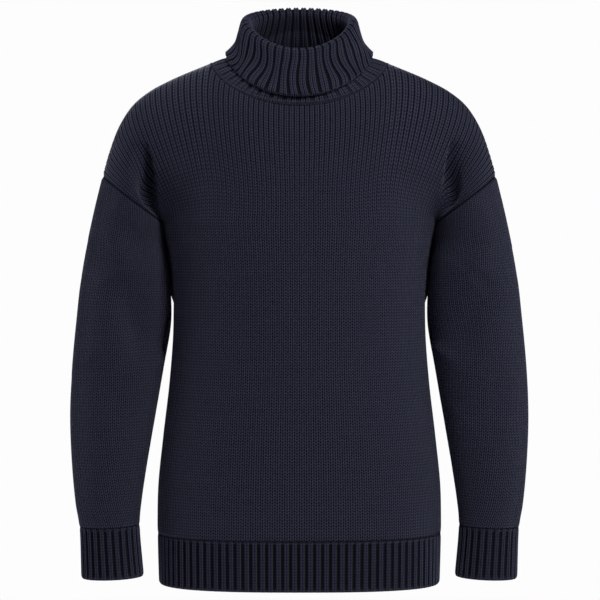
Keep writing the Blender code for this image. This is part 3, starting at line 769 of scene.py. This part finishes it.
def makeCollar(name, material):
    count = ribs["collar"]
    places, heights, wales = ribColumns(count, ribs["collarWidth"], True)
    steps = np.linspace(0, collar["sections"][-1][0], collar["rows"] + 1)
    rib = 2 * math.pi / count
    plain = -math.pi + 2 * math.pi * places / count
    middle = []
    for step in steps:
        # Ribs stray a little, by more on the turned-down part.
        stray = collar["wander"] * rib * smooth(*collar["wanderSteps"], step)
        lean = collar["slant"] * rib * smooth(*collar["slantSteps"], step)
        least = collar["wanderMiddle"]
        stray = stray * (least + (1 - least) * np.sin(plain) ** 2)
        angle = plain + lean * np.sin(plain)
        for share, waves, drift in collar["waves"]:
            angle = angle + share * stray * np.sin(waves * plain + drift * step)
        middle.append(neckSection(follow(collar["sections"], step), angle))
    middle = np.array(middle)
    normals = gridNormals(middle, True, -1)
    shown = middle + normals * cloth["wall"] / 2
    hidden = middle - normals * cloth["wall"] / 2
    leaning = plain + collar["slant"] * rib * np.sin(plain)
    seam = neckSection(collar["seam"], leaning)
    seamNormal = neckNormal(leaning)
    tangent = np.r_[seam[1:], seam[1:2]] - np.r_[seam[-2:-1], seam[:-1]]
    up = unit(np.cross(seamNormal, tangent))
    up = up * np.sign(up[:, 2:])
    hidden[0] = seam + up * cloth["seamGap"]
    shown[0] = hidden[0] - cloth["wall"] * seamNormal
    outward = normals.copy()
    outward[0] = -seamNormal

    run = np.linalg.norm(np.diff(middle, axis=0), axis=-1).mean(axis=1)
    run = np.r_[0, np.cumsum(run)]
    toEdge = run[-1] - run
    crest = heights[None, :]
    edge = dent(toEdge, 1, collar["edge"])[:, None]
    start = dent(run, 1, collar["seamReach"])[:, None]
    full = cloth["ribHeight"] * ribs["extraDepth"]
    ribbed = smooth(*collar["innerSteps"], steps)[:, None]
    height = crest * (1 - edge) + levelOf(collar["edgeHeight"], crest) * edge
    height = height * ribbed + collar["innerHeight"] * (1 - ribbed)
    sink = cloth["ribHeight"] - full
    rounded = dent(toEdge, ribs["rounding"], ribs["rounding"])[:, None]
    shown = shown + outward * (sink + height * full - rounded)[..., None]
    # The stand's strip below the turned-down edge has its ribs on the other face.
    below = smooth(*collar["stripSteps"], steps)[:, None]
    other = crest * (1 - start) + collar["stripSeamHeight"] * start
    other = other * full * below * collar["stripHeight"]
    hidden = hidden - outward * (other + collar["clearance"] * (1 - below))[..., None]
    # Painted shade: the furrows are darkened, and so is the cloth deep inside the collar.
    paintedShade = collar["shade"] * np.clip(1 - height / collar["shadeHeight"], 0, 1)
    strip = collar["stripShade"] * np.clip(1 - crest, 0, 1) ** 2 * (1 - start)
    paintedShade = np.where(steps[:, None] < collar["stripShadeSteps"][0], strip, paintedShade)
    deep = collar["insideShade"] * smooth(*collar["insideSteps"], steps)
    deep = deep * smooth(*collar["stripShadeSteps"], steps)
    paintedShade = np.maximum(paintedShade, deep[:, None])
    return makeSheet(name, shown, hidden, stitchUv(wales, run), 1.0, paintedShade, True, material)


chain = {
    "stitch": 0.0042,  # length of a stitch
    "width": 0.006,
    "yarn": 0.0012,  # half of the yarn's thickness
    "yarnSides": 5,
    "loopSteps": 8,
    "overlap": 1.2,  # length of a loop, in stitches
    "tilt": 0.3,  # radians that each loop leans back
    "lift": 0.0012,  # height above the seam, and the drop from it at the sides
    "drop": 0.0022,
    "dropShape": 6,
    "pathPoints": 721,
    "aheadBy": 0.001,
}


# Chain of yarn loops along a closed seam. Each loop is a thin oval ring.
def makeChain(name, path, normals, material):
    stitch, width, radius = chain["stitch"], chain["width"], chain["yarn"]
    loop = bmesh.new()
    bmesh.ops.create_circle(loop, segments=chain["yarnSides"], radius=radius)
    bmesh.ops.rotate(loop, verts=loop.verts, matrix=Matrix.Rotation(math.radians(90), 3, "X"))
    bmesh.ops.translate(loop, verts=loop.verts, vec=(width / 2 - radius, 0, 0))
    bmesh.ops.spin(
        loop, geom=loop.verts[:] + loop.edges[:], cent=(0, 0, 0), axis=(0, 0, 1),
        dvec=(0, 0, 0), angle=2 * math.pi, steps=chain["loopSteps"], use_merge=True,
    )
    bmesh.ops.scale(loop, verts=loop.verts, vec=(1, stitch * chain["overlap"] / width, 1))
    bmesh.ops.recalc_face_normals(loop, faces=loop.faces)
    unitLoop = bakeMesh(name + "Loop", loop)

    run = runAlong(path)
    count = int(round(run[-1] / stitch))
    stops = (np.arange(count) + 0.5) * run[-1] / count
    step = chain["aheadBy"]
    mesh = bmesh.new()
    for stop in stops:
        centre = lookUp(stop, run, path)
        out = unit(lookUp(stop, run, normals))
        ahead = lookUp(stop + step, run, path) - lookUp(stop - step, run, path)
        ahead = unit(ahead - out * (ahead @ out))
        aside = np.cross(ahead, out)
        known = len(mesh.verts)
        mesh.from_mesh(unitLoop)
        mesh.verts.ensure_lookup_table()
        turn = Matrix(
            [[aside[k], ahead[k], out[k], centre[k]] for k in range(3)] + [[0, 0, 0, 1]]
        )
        lean = Matrix.Rotation(chain["tilt"], 4, "X")
        bmesh.ops.transform(mesh, matrix=turn @ lean, verts=mesh.verts[known:])
    bpy.data.meshes.remove(unitLoop)
    return addPiece(name, bakeMesh(name, mesh), material)


# Materials

yarn = {
    "plain": (0.0465, 0.0488, 0.088, 1.0),
    # the same yarn as the plain knit, made lighter as a painted highlight on the rib crests
    "rib": (0.055, 0.0575, 0.104, 1.0),
    # the same yarn, made lighter as painted light on the chain, which sits in shade at the
    # neckline
    "linking": (0.056, 0.0585, 0.1, 1.0),
    # the near-black colour of all painted shade
    "deep": (0.003, 0.0032, 0.006, 1.0),
    "roughness": 0.88,
    "sheen": 0.35,
    "sheenRoughness": 0.45,
    "sheenTint": (0.6, 0.66, 0.9, 1.0),
    "specular": 0.15,
    "plainSlub": 0.24,  # how much lighter and darker the long streaks are
    "ribSlub": 0.12,
    "streakScale": (0.05, 0.55, 1.0),  # streaks in each wale, in each course
    "heatherScale": 420.0,  # in each metre
    "heatherRange": (0.5, 0.75),
    "fuzzScale": 1700.0,
    "fuzzHeight": 0.3,
    "bumpStrength": 0.9,
    "bumpDistance": 0.0014,
    "paintedLegLight": (1.8, 0.05),  # painted light and shade: what a stitch's height adds to the tone, and the tone at its foot
}

# Stitch relief, and painted shade: dark dots in the gaps between stitches and dark lines in open
# furrows.
stitching = {
    "climb": 0.5,  # how far a leg of a V climbs from the middle to the side, in courses
    "gap": (0.05, 0.50),  # where the gaps between stitches start and are full
    "openDots": -0.45,  # how much fainter the gaps are where the furrows are open
    "line": (0.52, 0.88),  # the same for an open furrow, from the middle of a wale
    "lineDepth": 0.80,
    "dotDepth": 0.96,
    "courseHeight": 0.35,  # relief along a leg, and across it
    "legHeight": 0.65,
    "twistTurns": 26.0,  # twist of the yarn along a course and across a leg, in radians
    "twistSlant": 11.0,
    "twistHeight": 0.05,
}


# Inputs of a node set to values or linked to sockets.
def setInputs(tree, node, inputs):
    for key, value in inputs.items():
        if isinstance(value, bpy.types.NodeSocket):
            tree.links.new(value, node.inputs[key])
        else:
            node.inputs[key].default_value = value


def addNode(tree, kind, inputs, **settings):
    node = tree.nodes.new(kind)
    for key, value in settings.items():
        setattr(node, key, value)
    setInputs(tree, node, inputs)
    return node


def maths(tree, operation, *inputs):
    return addNode(
        tree, "ShaderNodeMath", dict(enumerate(inputs)), operation=operation
    ).outputs[0]


# Nothing below low and 1 above high, with a soft change between them.
def ramp(tree, value, low, high):
    inputs = {"Value": value, "From Min": low, "From Max": high}
    node = addNode(tree, "ShaderNodeMapRange", inputs, interpolation_type="SMOOTHSTEP")
    return node.outputs["Result"]


# Relief of the stitches from their wale and course, and how deep in painted shade each part is.
def makeStitchGroup():
    tree = bpy.data.node_groups.new("knitStitches", "ShaderNodeTree")
    face = tree.interface
    face.new_socket(name="Stitches", in_out="INPUT", socket_type="NodeSocketVector")
    for socket in ("Opened", "PaintedShade"):
        face.new_socket(name=socket, in_out="INPUT", socket_type="NodeSocketFloat")
    for socket in ("Height", "Depth"):
        face.new_socket(name=socket, in_out="OUTPUT", socket_type="NodeSocketFloat")
    start = addNode(tree, "NodeGroupInput", {})
    split = addNode(tree, "ShaderNodeSeparateXYZ", {0: start.outputs["Stitches"]})
    wale, course = split.outputs[0], split.outputs[1]
    calc = partial(maths, tree)
    # 0 in the middle of a V and 1 between two wales
    side = calc("SUBTRACT", calc("FRACT", wale), 0.5)
    side = calc("MULTIPLY", calc("ABSOLUTE", side), 2.0)
    swing = calc("MULTIPLY_ADD", side, 2.0, -1.0)
    leg = calc("SUBTRACT", 1.0, calc("MULTIPLY", swing, swing))
    climb = calc("SUBTRACT", course, calc("MULTIPLY", side, stitching["climb"]))
    wave = calc("COSINE", calc("MULTIPLY", climb, 2 * math.pi))
    along = calc("MULTIPLY_ADD", wave, -0.5, 0.5)
    # Painted shade: dark dots in the gaps between stitches, and dark lines in open furrows.
    gap = ramp(tree, calc("SUBTRACT", 1.0, leg), *stitching["gap"])
    dots = calc("MULTIPLY", gap, calc("SUBTRACT", 1.0, along))
    closed = calc("MULTIPLY_ADD", start.outputs["Opened"], stitching["openDots"], 1.0)
    dots = calc("MULTIPLY", dots, closed)
    line = ramp(tree, side, *stitching["line"])
    line = calc("MULTIPLY", line, start.outputs["Opened"])
    legs = calc("MULTIPLY", leg, stitching["legHeight"])
    height = calc("MULTIPLY_ADD", along, stitching["courseHeight"], legs)
    slant = calc("MULTIPLY", side, stitching["twistSlant"])
    twist = calc("MULTIPLY_ADD", climb, stitching["twistTurns"], slant)
    twist = calc("SINE", twist)
    height = calc("MULTIPLY_ADD", twist, stitching["twistHeight"], height)
    line = calc("MULTIPLY", line, stitching["lineDepth"])
    dots = calc("MULTIPLY", dots, stitching["dotDepth"])
    depth = calc("MAXIMUM", line, dots)
    depth = calc("MAXIMUM", depth, start.outputs["PaintedShade"])
    depth = calc("MINIMUM", depth, 1.0)
    addNode(tree, "NodeGroupOutput", {"Height": height, "Depth": depth})
    return tree


def noise(tree, vector, scale, detail):
    inputs = {"Vector": vector, "Scale": scale, "Detail": detail}
    return addNode(tree, "ShaderNodeTexNoise", inputs).outputs["Fac"]


def makeKnit(name, colour, group, slub):
    material = bpy.data.materials.new(name)
    material.use_nodes = True
    tree = material.node_tree
    shader = tree.nodes["Principled BSDF"]
    coords = addNode(tree, "ShaderNodeUVMap", {}, uv_map="stitches").outputs["UV"]
    opened = addNode(tree, "ShaderNodeAttribute", {}, attribute_name="opened").outputs["Fac"]
    paintedShade = addNode(tree, "ShaderNodeAttribute", {}, attribute_name="paintedShade").outputs["Fac"]
    inputs = {"Stitches": coords, "Opened": opened, "PaintedShade": paintedShade}
    stitches = addNode(tree, "ShaderNodeGroup", inputs, node_tree=group)
    stitchHeight, depth = stitches.outputs["Height"], stitches.outputs["Depth"]

    # Uneven yarn: long soft streaks along the rows, and a fine heather.
    inputs = {"Vector": coords, "Scale": yarn["streakScale"]}
    streak = noise(tree, addNode(tree, "ShaderNodeMapping", inputs).outputs[0], 1.0, 3.0)
    place = addNode(tree, "ShaderNodeTexCoord", {}).outputs["Object"]
    heather = noise(tree, place, yarn["heatherScale"], 2.0)
    fuzz = noise(tree, place, yarn["fuzzScale"], 3.0)

    tone = maths(tree, "MULTIPLY_ADD", streak, slub, 1.0 - slub / 2)
    mottle = maths(tree, "MULTIPLY_ADD", heather, *yarn["heatherRange"])
    tone = maths(tree, "MULTIPLY", tone, mottle)
    # Painted light and shade: a stitch's raised legs are lighter and its foot darker.
    raised = maths(tree, "MULTIPLY_ADD", stitchHeight, *yarn["paintedLegLight"])
    tone = maths(tree, "MULTIPLY", tone, raised)
    grey = addNode(tree, "ShaderNodeCombineColor", {0: tone, 1: tone, 2: tone})
    inputs = {"Factor": 1.0, 6: colour, 7: grey.outputs[0]}
    base = addNode(tree, "ShaderNodeMix", inputs, data_type="RGBA", blend_type="MULTIPLY")
    # Painted shade: the colour goes towards the deep colour by the stitches' depth and the
    # painted-shade mark.
    inputs = {"Factor": depth, 6: base.outputs[2], 7: yarn["deep"]}
    shade = addNode(tree, "ShaderNodeMix", inputs, data_type="RGBA")

    relief = maths(tree, "MULTIPLY_ADD", fuzz, yarn["fuzzHeight"], stitchHeight)
    bump = addNode(tree, "ShaderNodeBump", {
        "Strength": yarn["bumpStrength"],
        "Distance": yarn["bumpDistance"],
        "Height": relief,
    })
    # The nap only shows where the stitches aren't in shade.
    shown = maths(tree, "SUBTRACT", 1.0, depth)
    setInputs(tree, shader, {
        "Base Color": shade.outputs[2],
        "Normal": bump.outputs[0],
        "Roughness": yarn["roughness"],
        "Specular IOR Level": yarn["specular"],
        "Sheen Weight": maths(tree, "MULTIPLY", shown, yarn["sheen"]),
        "Sheen Roughness": yarn["sheenRoughness"],
        "Sheen Tint": yarn["sheenTint"],
    })
    material.diffuse_color = colour
    return material


stitchGroup = makeStitchGroup()
plainKnit = makeKnit("plainKnit", yarn["plain"], stitchGroup, yarn["plainSlub"])
ribKnit = makeKnit("ribKnit", yarn["rib"], stitchGroup, yarn["ribSlub"])
linkingYarn = makeKnit("linkingYarn", yarn["linking"], stitchGroup, yarn["ribSlub"])
print("materials made")


# Pieces

pieces = {}
for label, face in (("front", frontFace), ("back", backFace)):
    pieces[label] = makeBody(label + "Knit", face, plainKnit)
    pieces["hem_rib_" + label] = makeHem(label + "HemRib", face, ribKnit)
print("body and hem knitted")
for label, side in (("left", leftSide), ("right", rightSide)):
    pieces["sleeve_" + label] = makeSleeve(label + "SleeveKnit", side, plainKnit)
    pieces["cuff_" + label] = makeCuff(label + "CuffRib", side, ribKnit)
print("sleeves and cuffs knitted")
pieces["collar"] = makeCollar("rollNeckRib", ribKnit)
print("roll neck knitted")

around = np.linspace(-math.pi, math.pi, chain["pathPoints"])
seamPath = neckSection(collar["seam"], around)
seamOut = neckNormal(around)
lift = chain["lift"] - chain["drop"] * np.sin(around[:, None]) ** chain["dropShape"]
neckChain = makeChain("neckLinkingChain", seamPath + seamOut * lift, seamOut, linkingYarn)
print("neckline linked")

# Flat sizes of the knitted pieces, and the area of each cut that isn't a full rectangle.
cuts = {
    "front": (0.56, 0.70, 0.330),
    "back": (0.56, 0.73, 0.330),
    "sleeve_left": (0.41, 0.49, 0.150),
    "sleeve_right": (0.41, 0.49, 0.150),
    "hem_rib_front": (0.50, 0.067, None),
    "hem_rib_back": (0.49, 0.067, None),
    "cuff_left": (0.27, 0.069, None),
    "cuff_right": (0.27, 0.069, None),
    "collar": (0.56, 0.16, None),
}
for node, (across, down, area) in cuts.items():
    piece = pieces[node]
    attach(piece, "root")
    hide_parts(node)
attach(neckChain, "root")


# Studio

studio = {
    "pixel": 0.00135,  # metres to a pixel of the photo at the sweater
    "pixels": 600,  # in the width of the picture
    "sensor": 36.0,
    "distance": 3.6,
    "aside": 0.7,  # of the camera, in pixels
    "level": -0.2106,
    "shift": -0.1333,
    "floor": -1.02,
    "floorSize": 6.0,
    "floorPaint": (0.85, 0.85, 0.85, 1.0),
    "paintRoughness": 0.9,
    "backdrop": (0.98, 0.98, 0.98, 1.0),
    "world": 0.03,  # strength of the light from all round
    # name, place, the point it faces, size, power, colour
    "lights": [
        ("frontLight", (1.2, -2.2, 2.4), (0, 0, -0.25), 1.0, 42.5, (1.0, 0.99, 0.97)),
        ("rightLight", (2.7, -1.0, 1.3), (0, 0, -0.20), 1.2, 8.0, (0.98, 0.99, 1.0)),
        ("leftLight", (-2.7, 0.75, 0.9), (0, 0, -0.20), 1.2, 20.0, (0.96, 0.98, 1.0)),
        ("backLight", (-0.9, 3.0, 1.0), (0, 0, -0.30), 1.6, 40.0, (0.96, 0.98, 1.0)),
    ],
}

floorMesh = bmesh.new()
bmesh.ops.create_grid(floorMesh, x_segments=1, y_segments=1, size=studio["floorSize"])
bmesh.ops.translate(floorMesh, verts=floorMesh.verts, vec=(0, 0, studio["floor"]))
floor = addObject("studioFloor", bakeMesh("studioFloor", floorMesh))
paint = bpy.data.materials.new("paleFloor")
paint.use_nodes = True
paintTree = paint.node_tree
paintShader = paintTree.nodes["Principled BSDF"]
paintLook = {"Base Color": studio["floorPaint"], "Roughness": studio["paintRoughness"]}
setInputs(paintTree, paintShader, paintLook)
glow = addNode(paintTree, "ShaderNodeEmission", {"Color": studio["backdrop"]})
rays = addNode(paintTree, "ShaderNodeLightPath", {})
seen = addNode(paintTree, "ShaderNodeMixShader", {
    0: rays.outputs["Is Camera Ray"],
    1: paintShader.outputs[0],
    2: glow.outputs[0],
})
setInputs(paintTree, paintTree.nodes["Material Output"], {"Surface": seen.outputs[0]})
floor.data.materials.append(paint)

world = bpy.data.worlds.new("studioWorld")
bpy.context.scene.world = world
world.use_nodes = True
skyTree = world.node_tree
skyRays = addNode(skyTree, "ShaderNodeLightPath", {})
strength = maths(
    skyTree, "MULTIPLY_ADD", skyRays.outputs["Is Camera Ray"], 1 - studio["world"], studio["world"]
)
sky = {"Color": studio["backdrop"], "Strength": strength}
setInputs(skyTree, skyTree.nodes["Background"], sky)


# A square lamp at a place, facing the target.
def addLight(name, place, target, size, power, colour):
    data = bpy.data.lights.new(name, "AREA")
    data.size = size
    data.energy = power
    data.color = colour
    light = addObject(name, data)
    light.location = place
    light.rotation_euler = (Vector(target) - Vector(place)).to_track_quat("-Z", "Y").to_euler()


for light in studio["lights"]:
    addLight(*light)

cameraData = bpy.data.cameras.new("camera")
cameraData.sensor_width = studio["sensor"]
width = studio["pixels"] * studio["pixel"]
cameraData.lens = studio["sensor"] * studio["distance"] / width
cameraData.shift_y = studio["shift"]
camera = addObject("camera", cameraData)
camera.location = (studio["aside"] * studio["pixel"], -studio["distance"], studio["level"])
camera.rotation_euler = (math.radians(90), 0, 0)
bpy.context.scene.camera = camera
bpy.context.scene.view_settings.view_transform = "Standard"
print("studio set")
